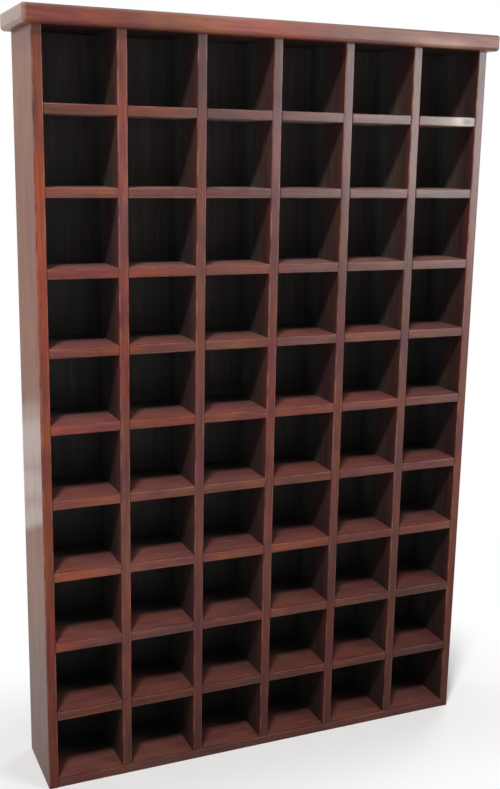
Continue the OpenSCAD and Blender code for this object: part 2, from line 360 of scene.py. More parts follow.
def rod(bm, start, axis, length_, radius, end_radius=None, capped=True):
    """A round bar or cone along an axis, with or without its end faces."""
    angle, hinge = {X: (math.pi / 2, "Y"), Y: (-math.pi / 2, "X"), Z: (0.0, "Z")}[axis]
    centre = Vector(start)
    centre[axis] += length_ / 2
    bmesh.ops.create_cone(
        bm, cap_ends=capped, segments=DRILL_SIDES, radius1=radius, radius2=end_radius or radius,
        depth=length_, matrix=Matrix.Translation(centre) @ Matrix.Rotation(angle, 4, hinge),
    )


def take_out(bm, cutter):
    """Takes a set of closed shapes out of a board."""
    shapes = []
    for shape in (bm, cutter):
        mesh = bpy.data.meshes.new("cut")
        shape.to_mesh(mesh)
        shapes.append(put("cut", mesh))
    cutter.free()
    board, tool = shapes
    cut = board.modifiers.new("cut", "BOOLEAN")
    cut.operation, cut.solver, cut.object = "DIFFERENCE", "EXACT", tool
    whole = board.evaluated_get(bpy.context.evaluated_depsgraph_get())
    bm.clear()
    bm.from_mesh(whole.to_mesh())
    whole.to_mesh_clear()
    for shape in shapes:
        bpy.data.meshes.remove(shape.data)


def bore_dowels_up(bm, xs):
    """Bores the dowel holes between the top board and the uprights at some places."""
    joints = bpy.context.scene.rack_joints
    cutter = bmesh.new()
    for x in xs:
        for y in DOWEL_YS:
            rod(cutter, (x, y, DOWEL_FOOT - joints.end_gap), Z, DOWEL_HEAD - DOWEL_FOOT + 2 * joints.end_gap,
                DOWEL_R + joints.hole_gap)
    take_out(bm, cutter)


def bore_dowels_across(bm, sides):
    """Bores the dowel holes between the bottom board and the side panels."""
    joints = bpy.context.scene.rack_joints
    inner = INNER_X + joints.side_housing - joints.dowel_in - joints.end_gap
    outer = DOWEL_HIGH.x + joints.end_gap
    cutter = bmesh.new()
    for s in sides:
        start_x = min(s * inner, s * outer)
        for y in DOWEL_YS:
            rod(cutter, (start_x, y, BOTTOM_T / 2), X, outer - inner, DOWEL_R + joints.hole_gap)
    take_out(bm, cutter)


def bore_screws(bm, xs, zs, countersunk=False):
    """Bores the holes of the back screws, which are countersunk where their heads lie."""
    joints = bpy.context.scene.rack_joints
    shank, head = joints.shank_r + joints.hole_gap, HEAD_R + joints.hole_gap
    start_y, end_y = SCREW_LOW.y - joints.end_gap, BACK_Y + joints.end_gap
    sink_y = BACK_Y - (head - shank) if countersunk else end_y
    cutter = bmesh.new()
    for x in xs:
        for z in zs:
            rod(cutter, (x, start_y, z), Y, sink_y - start_y, shank, capped=False)
            if countersunk:
                rod(cutter, (x, sink_y, z), Y, end_y - sink_y, shank, head + joints.end_gap, capped=False)
    bmesh.ops.remove_doubles(cutter, verts=cutter.verts[:], dist=WELD)
    bmesh.ops.holes_fill(cutter, edges=cutter.edges[:], sides=DRILL_SIDES)
    bmesh.ops.recalc_face_normals(cutter, faces=cutter.faces[:])
    take_out(bm, cutter)


def finish_board(bm, name, nodes, material, along, through, seed):
    """Turns a shape into a piece, with the places that its finish reads."""
    mesh = bpy.data.meshes.new(name)
    for face in bm.faces:
        face.smooth = True
    bm.to_mesh(mesh)
    bm.free()
    mesh.set_sharp_from_angle(angle=SHARP_ANGLE)
    dice = random.Random(seed)
    shift = Vector([dice.uniform(0, GRAIN_SPREAD) for _ in "xyz"])
    tone = dice.uniform(-1, 1)
    across = 3 - along - through
    centre = sum(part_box(nodes[0]), Vector()) / 2
    half = thickness(nodes[0], through) / 2
    for kept, kind in (("grain", "FLOAT_VECTOR"), ("place", "FLOAT_VECTOR"), ("tone", "FLOAT")):
        mesh.attributes.new(kept, kind, "POINT")
    grain, place, shade = (mesh.attributes[kept] for kept in ("grain", "place", "tone"))
    for i, v in enumerate(mesh.vertices):
        grain.data[i].vector = Vector((v.co[along], v.co[across], v.co[through])) + shift
        sheltered = abs(v.co.x) < OUTER_X - SLACK and v.co.y < BACK_Y - SLACK and v.co.z < SIDE_HIGH.z + SLACK
        place.data[i].vector = ((v.co[through] - centre[through]) / half, v.co.y - FRONT_Y, float(sheltered))
        shade.data[i].value = tone
    mesh.materials.append(material)
    piece = put(name, mesh)
    even = piece.modifiers.new("even_faces", "WEIGHTED_NORMAL")
    even.keep_sharp = True
    even.weight = 80
    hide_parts(*nodes)
    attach(piece, BODY)


# Finishes

# Patches in the stain: how close they lie along, across and through a board, and how far they
# shift red, green and blue at either end: mauve to orange, dull to red, and dark to light
STAIN_PATCHES = (
    ((10.0, 22.0, 22.0), (-0.19, -0.20, 0.10), (0.19, 0.20, -0.14)),
    ((4.3, 9.0, 9.0), (-0.05, 0.15, 0.14), (0.06, -0.14, -0.15)),
    ((3.1, 7.0, 7.0), (-0.15, -0.15, -0.15), (0.15, 0.15, 0.15)),
)
RING_WAVES = 780.0  # How close the growth rings lie, in radians a metre

# Stops of a place and a level: how light the wood is painted, as painted light and shade, and how strong the
# painted glare at the shelf's end and the polish are.
# Heights are from the floor and places across from the middle, in metres. Places through a board run
# from -1 at its low face to 1.
# Painted shade on the fronts: darker towards the foot, and the shelf fronts darker under the top and on their
# lower half
SHELF_BY_HEIGHT = (0.16, 0.43), (0.45, 0.82), (0.78, 0.88), (1.25, 0.95), (1.38, 0.68)
SHELF_THROUGH = (-1.0, 0.80), (-0.35, 0.95), (0.3, 1.05), (1.0, 1.0)
UPRIGHT_BY_HEIGHT = (0.1, 0.40), (0.35, 0.65), (0.7, 0.78), (1.1, 0.93), (1.3, 0.96)
WALL_BY_HEIGHT = (0.0, 0.48), (0.2, 0.66), (1.1, 1.0)
# Painted light and shade deep in the cells, by height and across
DEEP_PAINTED_LIGHT_BY_HEIGHT = (0.0, 0.45), (0.5, 0.72), (1.0, 0.86), (1.35, 1.20)
DEEP_PAINTED_LIGHT_ACROSS = (-0.40, 0.86), (0.0, 1.10), (0.40, 1.22)
# Painted light on the outer faces, lightest in a band about half a metre up
OUTER_BY_HEIGHT = (
    (0.02, 0.68), (0.12, 0.75), (0.27, 0.76), (0.42, 1.10),
    (0.60, 1.05), (0.9, 0.92), (1.2, 0.88), (1.4, 0.94),
)
# Painted light across the top board's front
TOP_ACROSS = (-0.20, 1.0), (-0.10, 1.55), (0.0, 1.05), (0.15, 1.0), (0.30, 0.88), (0.45, 1.0)
GLARE_ACROSS = (0.330, 0.0), (0.370, 0.10), (0.405, 0.24), (0.428, 0.56), (0.455, 0.42), (0.470, 0.15)
POLISH_BY_HEIGHT = (
    (0.548, 0.0), (0.564, 0.85), (0.582, 0.85), (0.606, 0.55), (0.630, 0.9), (0.656, 0.9), (0.678, 0.6),
    (0.700, 0.85), (0.750, 1.0), (0.768, 0.8), (0.782, 0.5), (0.798, 0.45), (0.822, 0.0),
)
KNOT_X, KNOT_RISE = 0.450, 0.001  # The top shelf's knot, across and off the shelf's middle
KNOT_STRETCH = 0.45  # How much less its length counts than its height
# Where the painted highlight lies on the top board's front
TOP_HIGHLIGHT_X = 0.37  # The top board's pale patch, across


def paint(value):
    """A colour as a socket takes it."""
    return value if isinstance(value, bpy.types.NodeSocket) else (*value, 1.0)


def grey(value):
    """The same value in all three channels."""
    return (value,) * 3


def darker(stain, level):
    """A colour at a lower level."""
    return tuple(channel * level for channel in stain)


class Finish:
    """The nodes of a material or of the surroundings, added step by step."""

    def __init__(self, owner):
        owner.use_nodes = True
        self.owner, self.tree = owner, owner.node_tree
        self.tree.nodes.clear()

    def add(self, kind, sockets=(), **settings):
        """Adds a node, sets it and joins its sockets."""
        node = self.tree.nodes.new("ShaderNode" + kind)
        for key, value in settings.items():
            setattr(node, key, value)
        for key, value in dict(sockets).items():
            if isinstance(value, bpy.types.NodeSocket):
                self.tree.links.new(value, node.inputs[key])
            else:
                node.inputs[key].default_value = value
        return node

    def where(self):
        """The place on the piece, in metres."""
        return self.add("TexCoord").outputs["Object"]

    def split(self, vector):
        """The three parts of a vector."""
        return self.add("SeparateXYZ", {0: vector}).outputs

    def math(self, kind, a, b=0.0):
        """One step of arithmetic."""
        return self.add("Math", {0: a, 1: b}, operation=kind).outputs[0]

    def times(self, level, *others):
        """Levels multiplied by each other."""
        for other in others:
            level = self.math("MULTIPLY", level, other)
        return level

    def off(self, value, place):
        """How far a value lies from a place, to either side."""
        return self.math("ABSOLUTE", self.math("SUBTRACT", value, place))

    def distance(self, a, b):
        """How far a point lies from the origin of two axes."""
        point = self.add("CombineXYZ", {0: a, 1: b}).outputs[0]
        return self.add("VectorMath", {0: point}, operation="LENGTH").outputs["Value"]

    def fit(self, value, low, high, to_low=0.0, to_high=1.0, smooth=False):
        """Carries a range of values over to another."""
        kind = "SMOOTHSTEP" if smooth else "LINEAR"
        sockets = {0: value, 1: low, 2: high, 3: to_low, 4: to_high}
        return self.add("MapRange", sockets, interpolation_type=kind, clamp=True).outputs[0]

    def ramp(self, value, *stops):
        """A level or colour that changes evenly from stop to stop."""
        low, high = stops[0][0], stops[-1][0]
        node = self.add("ValToRGB", {0: self.fit(value, low, high)})
        elements = node.color_ramp.elements
        for place, _ in stops[1:-1]:
            elements.new((place - low) / (high - low))
        for element, (_, level) in zip(elements, stops):
            element.color = paint(level if hasattr(level, "__len__") else grey(level))
        return node.outputs[0]

    def speckle(self, vector, spread, detail=2.0, roughness=0.5):
        """Soft random values about 0.5, as close along each axis as spread says."""
        place = self.add("Mapping", {"Vector": vector, "Scale": spread}, vector_type="POINT").outputs[0]
        sockets = {"Vector": place, "Scale": 1.0, "Detail": detail, "Roughness": roughness}
        return self.add("TexNoise", sockets, noise_dimensions="3D").outputs[0]

    def mix(self, factor, a, b, kind="MIX"):
        """Mixes two colours."""
        sockets = {0: factor, 6: paint(a), 7: paint(b)}
        return self.add("Mix", sockets, data_type="RGBA", blend_type=kind).outputs[2]

    def blend(self, factor, a, b):
        """Mixes two levels."""
        return self.add("Mix", {0: factor, 2: a, 3: b}, data_type="FLOAT").outputs[0]

    def tint(self, body, shares):
        """A colour multiplied channel by channel."""
        return self.mix(1.0, body, shares, "MULTIPLY")

    def shade(self, body, level):
        """A colour made lighter or darker by a level."""
        return self.add("VectorMath", {0: body, "Scale": level}, operation="SCALE").outputs[0]

    def bump(self, strength, distance, height, under=None):
        """Fine relief, on top of another."""
        sockets = {"Strength": strength, "Distance": distance, "Height": height}
        if under is not None:
            sockets["Normal"] = under
        return self.add("Bump", sockets).outputs[0]

    def close(self, shader, kind="OutputMaterial"):
        """Joins the last shader to the output."""
        out = self.add(kind)
        self.tree.links.new(shader, out.inputs["Surface"])
        return self.owner

    def surface(self, sockets):
        """A material with one plain shader."""
        return self.close(self.add("BsdfPrincipled", sockets).outputs[0])

    def seen_directly(self):
        """1 where it is seen, mirrored or seen through, and 0 for the light that falls on the rack."""
        path = self.add("LightPath").outputs
        seen = self.math("MAXIMUM", path["Is Camera Ray"], path["Is Glossy Ray"])
        return self.math("MAXIMUM", seen, path["Is Transmission Ray"])


class Mahogany(Finish):
    """Stained and lacquered mahogany whose grain follows the board that it is on."""

    def __init__(self, name):
        super().__init__(bpy.data.materials.new(name))
        self.settings = bpy.context.scene.rack_finish
        self.grain = self.attribute("grain", "Vector")
        self.through, self.depth, self.sheltered = self.split(self.attribute("place", "Vector"))
        self.across, _, self.height = self.split(self.where())
        self.behind = self.times(self.fit(self.depth, 0.002, 0.008, smooth=True), self.sheltered)
        # Painted shade: the wood darker towards the right end
        self.rightwards = self.fit(self.across, -INNER_X, INNER_X, 1.06, self.settings.right_shade)

    def attribute(self, name, output):
        """A value stored on the piece."""
        return self.add("Attribute", attribute_name=name).outputs[output]


def draw_grain(f, fineness):
    """Broad streaks, growth rings and fine pores, as shares of the stain."""
    # The grain strays sideways as it runs along the board
    drift = f.fit(f.speckle(f.grain, (2.2, 6.0, 6.0)), 0.0, 1.0, -0.02, 0.02)
    sideways = f.add("CombineXYZ", {1: drift, 2: drift}).outputs[0]
    f.strayed = f.add("VectorMath", {0: f.grain, 1: sideways}, operation="ADD").outputs[0]
    f.streak = f.speckle(f.strayed, (5.0, fineness, fineness), 4.0, 0.62)
    f.pores = f.fit(f.speckle(f.strayed, (55.0, 1500.0, 1500.0), 1.0), 0.60, 0.74)
    _, across, through = f.split(f.strayed)
    ring = f.math("SINE", f.times(f.distance(across, through), RING_WAVES))
    figure = f.mix(f.fit(f.streak, 0.36, 0.64), grey(0.70), grey(1.18))
    figure = f.mix(f.fit(ring, -1.0, 1.0, 0.0, 0.14), figure, (1.3, 1.5, 1.5))
    return f.mix(f.times(f.pores, 0.45), figure, grey(0.35))


def add_patches(f, figure, patches, outside):
    """Patches where the stain took redder or browner, weaker inside the cells and outside."""
    calm = f.behind
    if outside is not None:
        calm = f.math("MAXIMUM", calm, outside)
        broad = f.fit(f.speckle(f.strayed, (1.5, 45.0, 45.0)), 0.35, 0.65, 0.93, 1.07)
        figure = f.mix(f.times(outside, 0.6), figure, broad)
    calm = f.times(calm, 0.6)
    for spread, *shifts in STAIN_PATCHES:
        patch = f.fit(f.speckle(f.grain, spread, 3.0), 0.38, 0.62)
        ends = (tuple(1.0 + patches * shift for shift in channels) for channels in shifts)
        figure = f.tint(figure, f.mix(f.blend(calm, patch, 0.5), *ends))
    return figure


def front_wood(f, stain, shelf, worn_edges_and_shade):
    """The front faces, with painted shade darker towards the foot, the right and the upper right, and a
    painted shadow under the top; the uprights are also redder at the foot.
    """
    settings = f.settings
    if shelf:
        upwards = f.ramp(f.height, (0.0, settings.shelf_foot), *SHELF_BY_HEIGHT)
        upwards = f.times(upwards, f.ramp(f.through, *SHELF_THROUGH))
    else:
        upwards = f.ramp(f.height, (0.0, settings.upright_foot), *UPRIGHT_BY_HEIGHT)
    level = f.times(upwards, f.rightwards)
    if worn_edges_and_shade:
        # Painted shade dims the upper right, and a painted shadow of the top board's overhang falls just
        # below it
        upper_right_shade = f.times(f.fit(f.height, 0.80, 1.25, smooth=True), f.fit(f.across, -0.35, -0.05))
        under_top = f.fit(f.height, 1.36, 1.48, 1.0, settings.head_shade, smooth=True)
        level = f.times(level, f.fit(upper_right_shade, 0.0, 1.0, 1.0, 0.74), under_top)
    body = f.shade(stain, level)
    if shelf:
        return body
    return f.mix(f.fit(f.height, 0.15, 0.50, 1.0, 0.0), body, f.tint(body, (0.96, 0.76, 0.66)))


def cell_wood(f, stops, shelf):
    """The wood inside the cells, by distance from the front, with painted light and shade by height and
    across.
    """
    if shelf:
        # Painted light: the shelf tops lighter higher up and towards the left
        level = f.times(f.fit(f.height, 0.2, 1.0, 0.71, 1.22), f.fit(f.across, -INNER_X, INNER_X, 1.12, 0.84))
    else:
        # Deep in the cells painted light makes the wood lighter towards the upper right and painted shade
        # darker at the foot; nearer the front painted shade darkens it towards the foot and the right
        deep_painted_light = f.times(f.ramp(f.height, *DEEP_PAINTED_LIGHT_BY_HEIGHT), f.ramp(f.across, *DEEP_PAINTED_LIGHT_ACROSS))
        near_painted_shade = f.times(f.ramp(f.height, *WALL_BY_HEIGHT), f.rightwards)
        level = f.blend(f.fit(f.depth, 0.025, 0.065), near_painted_shade, deep_painted_light)
    body = f.shade(f.ramp(f.depth, *stops), level)
    if shelf:
        # Painted sheen on the highest shelf tops, towards the middle and right
        grazing_sheen = f.times(f.fit(f.height, 1.02, 1.24), f.fit(f.across, -0.60, -0.10), 0.6)
        body = f.mix(grazing_sheen, body, f.settings.grazing_sheen)
    return body


def rub_and_highlight(f, body, strength):
    """Rubs the front edges paler in places: partly wear, partly a painted highlight along the arrises."""
    to_side = f.times(f.math("SUBTRACT", 1.0, f.math("ABSOLUTE", f.through)), 0.010)
    rubbed = f.fit(f.distance(to_side, f.depth), 0.0008, 0.0036, 1.0, 0.0, smooth=True)
    patchy = f.fit(f.speckle(f.grain, (26.0, 60.0, 60.0), 3.0), 0.42, 0.62)
    rubbed = f.times(rubbed, patchy, f.fit(f.height, 0.0, 1.1, 0.4, 1.0), strength)
    return f.mix(rubbed, body, f.settings.worn_and_highlight)


def outer_wood(f, head, foot):
    """The wood outside on the sides, paler and greyer as painted sheen, with painted light in bands by
    height, redder along the front and darker at the front's foot.
    """
    wood = f.mix(f.fit(f.height, 0.1, 0.9), foot, head)
    wood = f.mix(f.fit(f.depth, 0.005, 0.040, 0.8, 0.0), wood, f.tint(wood, (1.0, 0.82, 0.78)))
    from_corner = f.math("ADD", f.height, f.times(f.depth, 1.2))
    level = f.times(f.ramp(f.height, *OUTER_BY_HEIGHT), f.fit(from_corner, 0.04, 0.14, 0.6, 1.0))
    return f.shade(wood, level)


def side_polish(f):
    """The lacquer outside on the sides: thin, but glossy in three bands at arm's height."""
    cloud = f.fit(f.speckle(f.grain, (8.0, 3.0, 3.0)), 0.3, 0.7, -0.008, 0.008)
    slant = f.times(f.fit(f.depth, 0.0, 0.17, -1.0, 1.0), f.fit(f.height, 0.54, 0.80, 0.033, 0.018))
    place = f.math("ADD", f.math("ADD", f.height, cloud), slant)
    return f.ramp(place, *POLISH_BY_HEIGHT)


def glare_and_knot(f, body):
    """The right end of the top shelf's front: a painted glare round a knot."""
    level = f.off(f.height, SHELF_ZS[0])
    here = f.times(f.fit(level, SHELF_T / 2, SHELF_T, 1.0, 0.0), f.fit(f.behind, 0.0, 0.3, 1.0, 0.0))
    pale = f.times(f.ramp(f.across, *GLARE_ACROSS), here)
    body = f.mix(pale, body, f.settings.painted_glare)
    beside = f.times(f.math("SUBTRACT", f.across, KNOT_X), KNOT_STRETCH)
    to_knot = f.distance(beside, f.math("SUBTRACT", level, KNOT_RISE))
    knot = f.times(f.fit(to_knot, 0.0020, 0.0070, 0.95, 0.0), here)
    return f.mix(knot, body, f.settings.knot)


def top_rim_and_painted_light(f, body):
    """A greyer rim along the top board's upper edge, a painted highlight low on its front, painted light
    across its front and painted sheen on its ends.
    """
    rim = f.times(f.fit(f.through, 0.62, 0.85), f.fit(f.through, 0.95, 1.0, 1.0, 0.0), 0.5)
    body = f.mix(rim, body, f.settings.top_rim_grey)
    low = f.times(f.fit(f.through, -0.3, 0.4, 1.0, 0.0), f.fit(f.depth, -0.019, -0.012, 1.0, 0.0))
    patch = f.fit(f.off(f.across, TOP_HIGHLIGHT_X), 0.02, 0.09, 0.25, 0.0, smooth=True)
    body = f.mix(f.times(low, patch), body, f.settings.top_painted_highlight)
    # Painted light across the top board's front
    body = f.shade(body, f.ramp(f.across, *TOP_ACROSS))
    # Painted sheen on the top board's ends
    end = f.fit(f.math("ABSOLUTE", f.across), 0.500, 0.509, 0.0, 0.28)
    return f.mix(end, body, f.settings.painted_glare)


def wall_stops():
    """The wood on the cell walls, by distance from the front: painted shade, darker further in and a pale
    bluish grey at the back.
    """
    settings = bpy.context.scene.rack_finish
    return (
        (0.008, settings.wall_near), (0.030, settings.wall_mid),
        (0.075, settings.wall_half), (0.112, settings.wall_deep),
    )


def mahogany(name, stain, inside, outer=None, fineness=190.0, patches=1.0, gloss=1.0,
             worn_edges_and_shade=True, shelf=False, top=False):
    """The mahogany of one kind of board.

    inside is the wood inside the cells, as stops from the front to the back.
    outer is the wood on the outer faces, near the top and at the foot.
    """
    f = Mahogany(name)
    settings = f.settings
    outside = f.fit(f.sheltered, 0.0, 0.05, 1.0, 0.0) if outer else None
    figure = add_patches(f, draw_grain(f, fineness), patches, outside)
    body = f.mix(f.behind, front_wood(f, stain, shelf, worn_edges_and_shade), cell_wood(f, inside, shelf))
    if outer:
        body = f.mix(outside, body, outer_wood(f, *outer))
    body = f.shade(f.tint(body, figure), f.fit(f.attribute("tone", "Fac"), -1.0, 1.0, 0.90, 1.08))
    if worn_edges_and_shade:
        body = rub_and_highlight(f, body, settings.wear_and_highlight * (0.6 if shelf else 1.0))
    if shelf:
        body = glare_and_knot(f, body)
    if top:
        body = top_rim_and_painted_light(f, body)
    relief = f.math("ADD", f.times(f.streak, 0.6), f.times(f.pores, -0.5))
    bump = f.bump(0.25, 0.002, f.speckle(f.grain, (14.0, 45.0, 45.0)), f.bump(0.30, 0.0003, relief))
    rough = f.fit(f.streak, 0.3, 0.7, 0.52, 0.40)
    sockets = {"Base Color": body, "Roughness": rough, "Normal": bump, "Specular IOR Level": 0.20}
    if gloss:
        # The lacquer is whole at the upper right only
        coat = f.fit(f.math("ADD", f.height, f.across), 0.82, 1.6, settings.thin_lacquer, settings.lacquer)
        coat = f.times(coat, f.fit(f.behind, 0.0, 1.0, gloss, 0.15 * gloss))
        if outer:
            coat = f.blend(outside, coat, side_polish(f))
        sockets["Coat Weight"], sockets["Coat Normal"] = coat, bump
        sockets["Coat Roughness"] = settings.lacquer_roughness
    return f.surface(sockets)


def shelf_mahogany():
    """The mahogany that the shelves and the bottom board share, made once."""
    settings = bpy.context.scene.rack_finish
    # Painted shade: the shelf tops darker and greyer towards the back
    stops = (0.010, settings.shelf_near), (0.060, settings.shelf_mid), (0.115, settings.shelf_deep)
    return bpy.data.materials.get("shelf_mahogany") or mahogany(
        "shelf_mahogany", settings.shelf_stain, stops, shelf=True)


def beech():
    """Bare beech for the dowels."""
    settings = bpy.context.scene.rack_finish
    f = Finish(bpy.data.materials.new("bare_beech"))
    streak = f.speckle(f.where(), (900.0, 900.0, 30.0))
    body = f.mix(f.fit(streak, 0.35, 0.65), darker(settings.dowel, 0.8), settings.dowel)
    rough = f.fit(streak, 0.3, 0.7, 0.7, 0.55)
    return f.surface({"Base Color": body, "Roughness": rough, "Normal": f.bump(0.3, 0.0002, streak)})


def plated_steel():
    """Yellow plated steel for the screws, rubbed and a little stained."""
    settings = bpy.context.scene.rack_finish
    f = Finish(bpy.data.materials.new("plated_steel"))
    cloud = f.speckle(f.where(), grey(260.0), 4.0, 0.6)
    body = f.mix(f.fit(cloud, 0.4, 0.65), darker(settings.screw, 0.55), settings.screw)
    return f.surface({"Base Color": body, "Metallic": 1.0, "Roughness": f.fit(cloud, 0.3, 0.7, 0.48, 0.28)})


# Boards


def groups(context):
    """The settings of the joints, the edges and the finish."""
    scene = context.scene
    return scene.rack_joints, scene.rack_edges, scene.rack_finish


class RACK_OT_sides(Operator):
    """Builds both side panels, with rebate and stopped housings"""

    bl_idname = "rack.sides"
    bl_label = "Side panels"

    def execute(self, context):
        joints, edges, finish = groups(context)
        outer = finish.outer_head, finish.outer_foot
        stain = mahogany("side_mahogany", finish.side_stain, wall_stops(), outer)
        stop_y = FRONT_Y + joints.housing_stop
        foot_z = BOTTOM_T + joints.fit
        gap = SHELF_T / 2 + joints.fit
        heights = [SIDE_LOW.z, SIDE_HIGH.z, foot_z, *either_side(SHELF_ZS, gap)]

        def in_rebate(p):
            return p.y > BOARD_Y

        def in_housing(p):
            return in_rebate(p) or (p.y > stop_y and (p.z < foot_z or within(p.z, SHELF_ZS, gap)))

        for node, s in (("side_left", -1), ("side_right", 1)):
            bm = lay_sheet(Y, Z, X, [FRONT_Y, stop_y, BOARD_Y, BACK_Y], heights, s * OUTER_X)
            faces = grow(bm, bm.faces[:], X, -s * joints.rebate)
            inner = OUTER_X - joints.rebate - INNER_X - joints.side_housing
            faces = grow(bm, keep_faces(faces, in_rebate), X, -s * inner)
            grow(bm, keep_faces(faces, in_housing), X, -s * joints.side_housing)
            close_up(bm)
            ease_front(bm, node, X, edges.arris)
            ease(bm, edges.arris / 2, REAR_STEPS, lambda p: near(p.y, BACK_Y) and near(abs(p.x), OUTER_X))
            waver(bm, Z, {Y: 1}, FRONT_Y, s)
            bore_dowels_up(bm, [s * (INNER_X + OUTER_X) / 2])
            bore_dowels_across(bm, [s])
            finish_board(bm, node + "_panel", [node], stain, Z, X, 11 + s)
        return {"FINISHED"}


class RACK_OT_top_board(Operator):
    """Builds the top board, rounded in front and at both ends and housed underneath"""

    bl_idname = "rack.top_board"
    bl_label = "Top board"

    def execute(self, context):
        joints, edges, finish = groups(context)
        low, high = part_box("top_board")
        half = DIVIDER_T / 2 + joints.fit
        side_in, side_out = INNER_X - joints.fit, OUTER_X + joints.fit
        housing_y = FRONT_Y - joints.fit
        xs = [low.x, high.x, *either_side(DIVIDER_XS, half)]
        xs += [s * x for s in (-1, 1) for x in (side_in, side_out, OUTER_X)]

        def housed(p):
            over_upright = side_in < abs(p.x) < side_out or within(p.x, DIVIDER_XS, half)
            return (over_upright and p.y > housing_y) or (p.y > BOARD_Y and abs(p.x) < OUTER_X)

        def on_rim(edge):
            """Whether an edge bounds the front or an end, clear of the housings."""
            outer = [f for f in edge.link_faces if abs(f.normal.z) < 0.1 and f.normal.y < 0.5]
            middles = [f.calc_center_median() for f in outer]
            return any(m.y < FRONT_Y - RIM_REACH or abs(m.x) > OUTER_X + RIM_REACH for m in middles)

        bm = lay_sheet(X, Y, Z, xs, [low.y, housing_y, BOARD_Y, high.y], high.z)
        faces = grow(bm, bm.faces[:], Z, low.z + joints.top_housing - high.z)
        grow(bm, keep_faces(faces, housed), Z, -joints.top_housing)
        close_up(bm)
        ease(bm, edges.top_corner, CORNER_STEPS, lambda p: near(p.y, low.y) and near(abs(p.x), high.x))
        ease(bm, edges.top_upper, UPPER_STEPS, lambda p: near(p.z, high.z), on_rim)
        ease(bm, edges.top_lower, LOWER_STEPS, lambda p: near(p.z, low.z), on_rim)
        waver(bm, X, {Y: 1, Z: -1}, low.y, 3, reach=0.015, strength=1.2)
        bore_dowels_up(bm, [-(INNER_X + OUTER_X) / 2, *DIVIDER_XS, (INNER_X + OUTER_X) / 2])
        # Painted shade under the top board, inside the cells
        inside = (0.0, finish.underside), (1.0, finish.underside)
        stain = mahogany("top_mahogany", finish.top_stain, inside, gloss=0.65, worn_edges_and_shade=False, top=True)
        finish_board(bm, "top_board_slab", ["top_board"], stain, X, Z, 31)
        return {"FINISHED"}


class RACK_OT_bottom_board(Operator):
    """Builds the bottom board, with a stopped housing for the foot of each divider"""

    bl_idname = "rack.bottom_board"
    bl_label = "Bottom board"

    def execute(self, context):
        joints, edges, _ = groups(context)
        low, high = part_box("bottom_board")
        half = DIVIDER_T / 2 + joints.fit
        shoulder = INNER_X - joints.fit
        stop_y = FRONT_Y + joints.housing_stop
        notch_y = stop_y + joints.fit
        xs = [low.x, high.x, -shoulder, shoulder, *either_side(DIVIDER_XS, half)]
        bm = lay_sheet(X, Y, Z, xs, [low.y, stop_y, notch_y, high.y], low.z)
        drop(bm, lambda p: abs(p.x) > shoulder and p.y < notch_y)
        faces = grow(bm, bm.faces[:], Z, high.z - low.z - joints.foot_housing)
        faces = keep_faces(faces, lambda p: p.y > stop_y and within(p.x, DIVIDER_XS, half))
        grow(bm, faces, Z, joints.foot_housing)
        close_up(bm)
        ease_front(bm, "bottom_board", Z, edges.shelf_arris)
        waver(bm, X, {Y: 1}, low.y, 5)
        bore_dowels_across(bm, [-1, 1])
        bore_screws(bm, COLUMN_XS, [BOTTOM_T / 2])
        finish_board(bm, "bottom_board_plank", ["bottom_board"], shelf_mahogany(), X, Z, 41)
        return {"FINISHED"}


class RACK_OT_dividers(Operator):
    """Builds the upright dividers, slotted from the back for the shelves"""

    bl_idname = "rack.dividers"
    bl_label = "Dividers"

    def execute(self, context):
        joints, edges, finish = groups(context)
        stain = mahogany("divider_mahogany", finish.divider_stain, wall_stops())
        gap = SHELF_T / 2 + joints.fit
        lap_y = (FRONT_Y + BOARD_Y) / 2
        notch_y = FRONT_Y + joints.housing_stop + joints.fit
        for number, node in enumerate(DIVIDERS):
            low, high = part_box(node)
            heights = [low.z, high.z, BOTTOM_T, *either_side(SHELF_ZS, gap)]
            bm = lay_sheet(Y, Z, X, [low.y, notch_y, lap_y, high.y], heights, low.x)
            drop(bm, lambda p: (p.y < notch_y and p.z < BOTTOM_T) or (
                p.y > lap_y and within(p.z, SHELF_ZS, gap)))
            grow(bm, bm.faces[:], X, high.x - low.x)
            close_up(bm)
            ease_front(bm, node, X, edges.arris)
            waver(bm, Z, {Y: 1}, low.y, 20 + number)
            bore_dowels_up(bm, [(low.x + high.x) / 2])
            finish_board(bm, node + "_board", [node], stain, Z, X, 51 + number)
        return {"FINISHED"}


class RACK_OT_shelves(Operator):
    """Builds the shelves, slotted from the front for the dividers and notched at the sides"""

    bl_idname = "rack.shelves"
    bl_label = "Shelves"

    def execute(self, context):
        joints, edges, _ = groups(context)
        half = DIVIDER_T / 2 + joints.fit
        shoulder = INNER_X - joints.fit
        ends = [-shoulder, shoulder, *either_side(DIVIDER_XS, half)]
        notch_y = FRONT_Y + joints.housing_stop + joints.fit
        slot_y = (FRONT_Y + BOARD_Y) / 2 + joints.end_gap
        for number, node in enumerate(SHELVES):
            low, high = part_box(node)
            bm = lay_sheet(X, Y, Z, [low.x, high.x, *ends], [low.y, notch_y, slot_y, high.y], low.z)
            drop(bm, lambda p: (p.y < notch_y and abs(p.x) > shoulder) or (
                p.y < slot_y and within(p.x, DIVIDER_XS, half)))
            grow(bm, bm.faces[:], Z, high.z - low.z)
            close_up(bm)
            ease_front(bm, node, Z, edges.shelf_arris)
            ease(bm, edges.joint_ease, 1, lambda p: p.y < low.y + EASE_REACH and near(p.x, *ends))
            waver(bm, X, {Y: 1, Z: 0}, low.y, 40 + number)
            if middle(node, Z) in SCREWED_ZS:
                bore_screws(bm, COLUMN_XS, [middle(node, Z)])
            finish_board(bm, node + "_board", [node], shelf_mahogany(), X, Z, 71 + number)
        return {"FINISHED"}


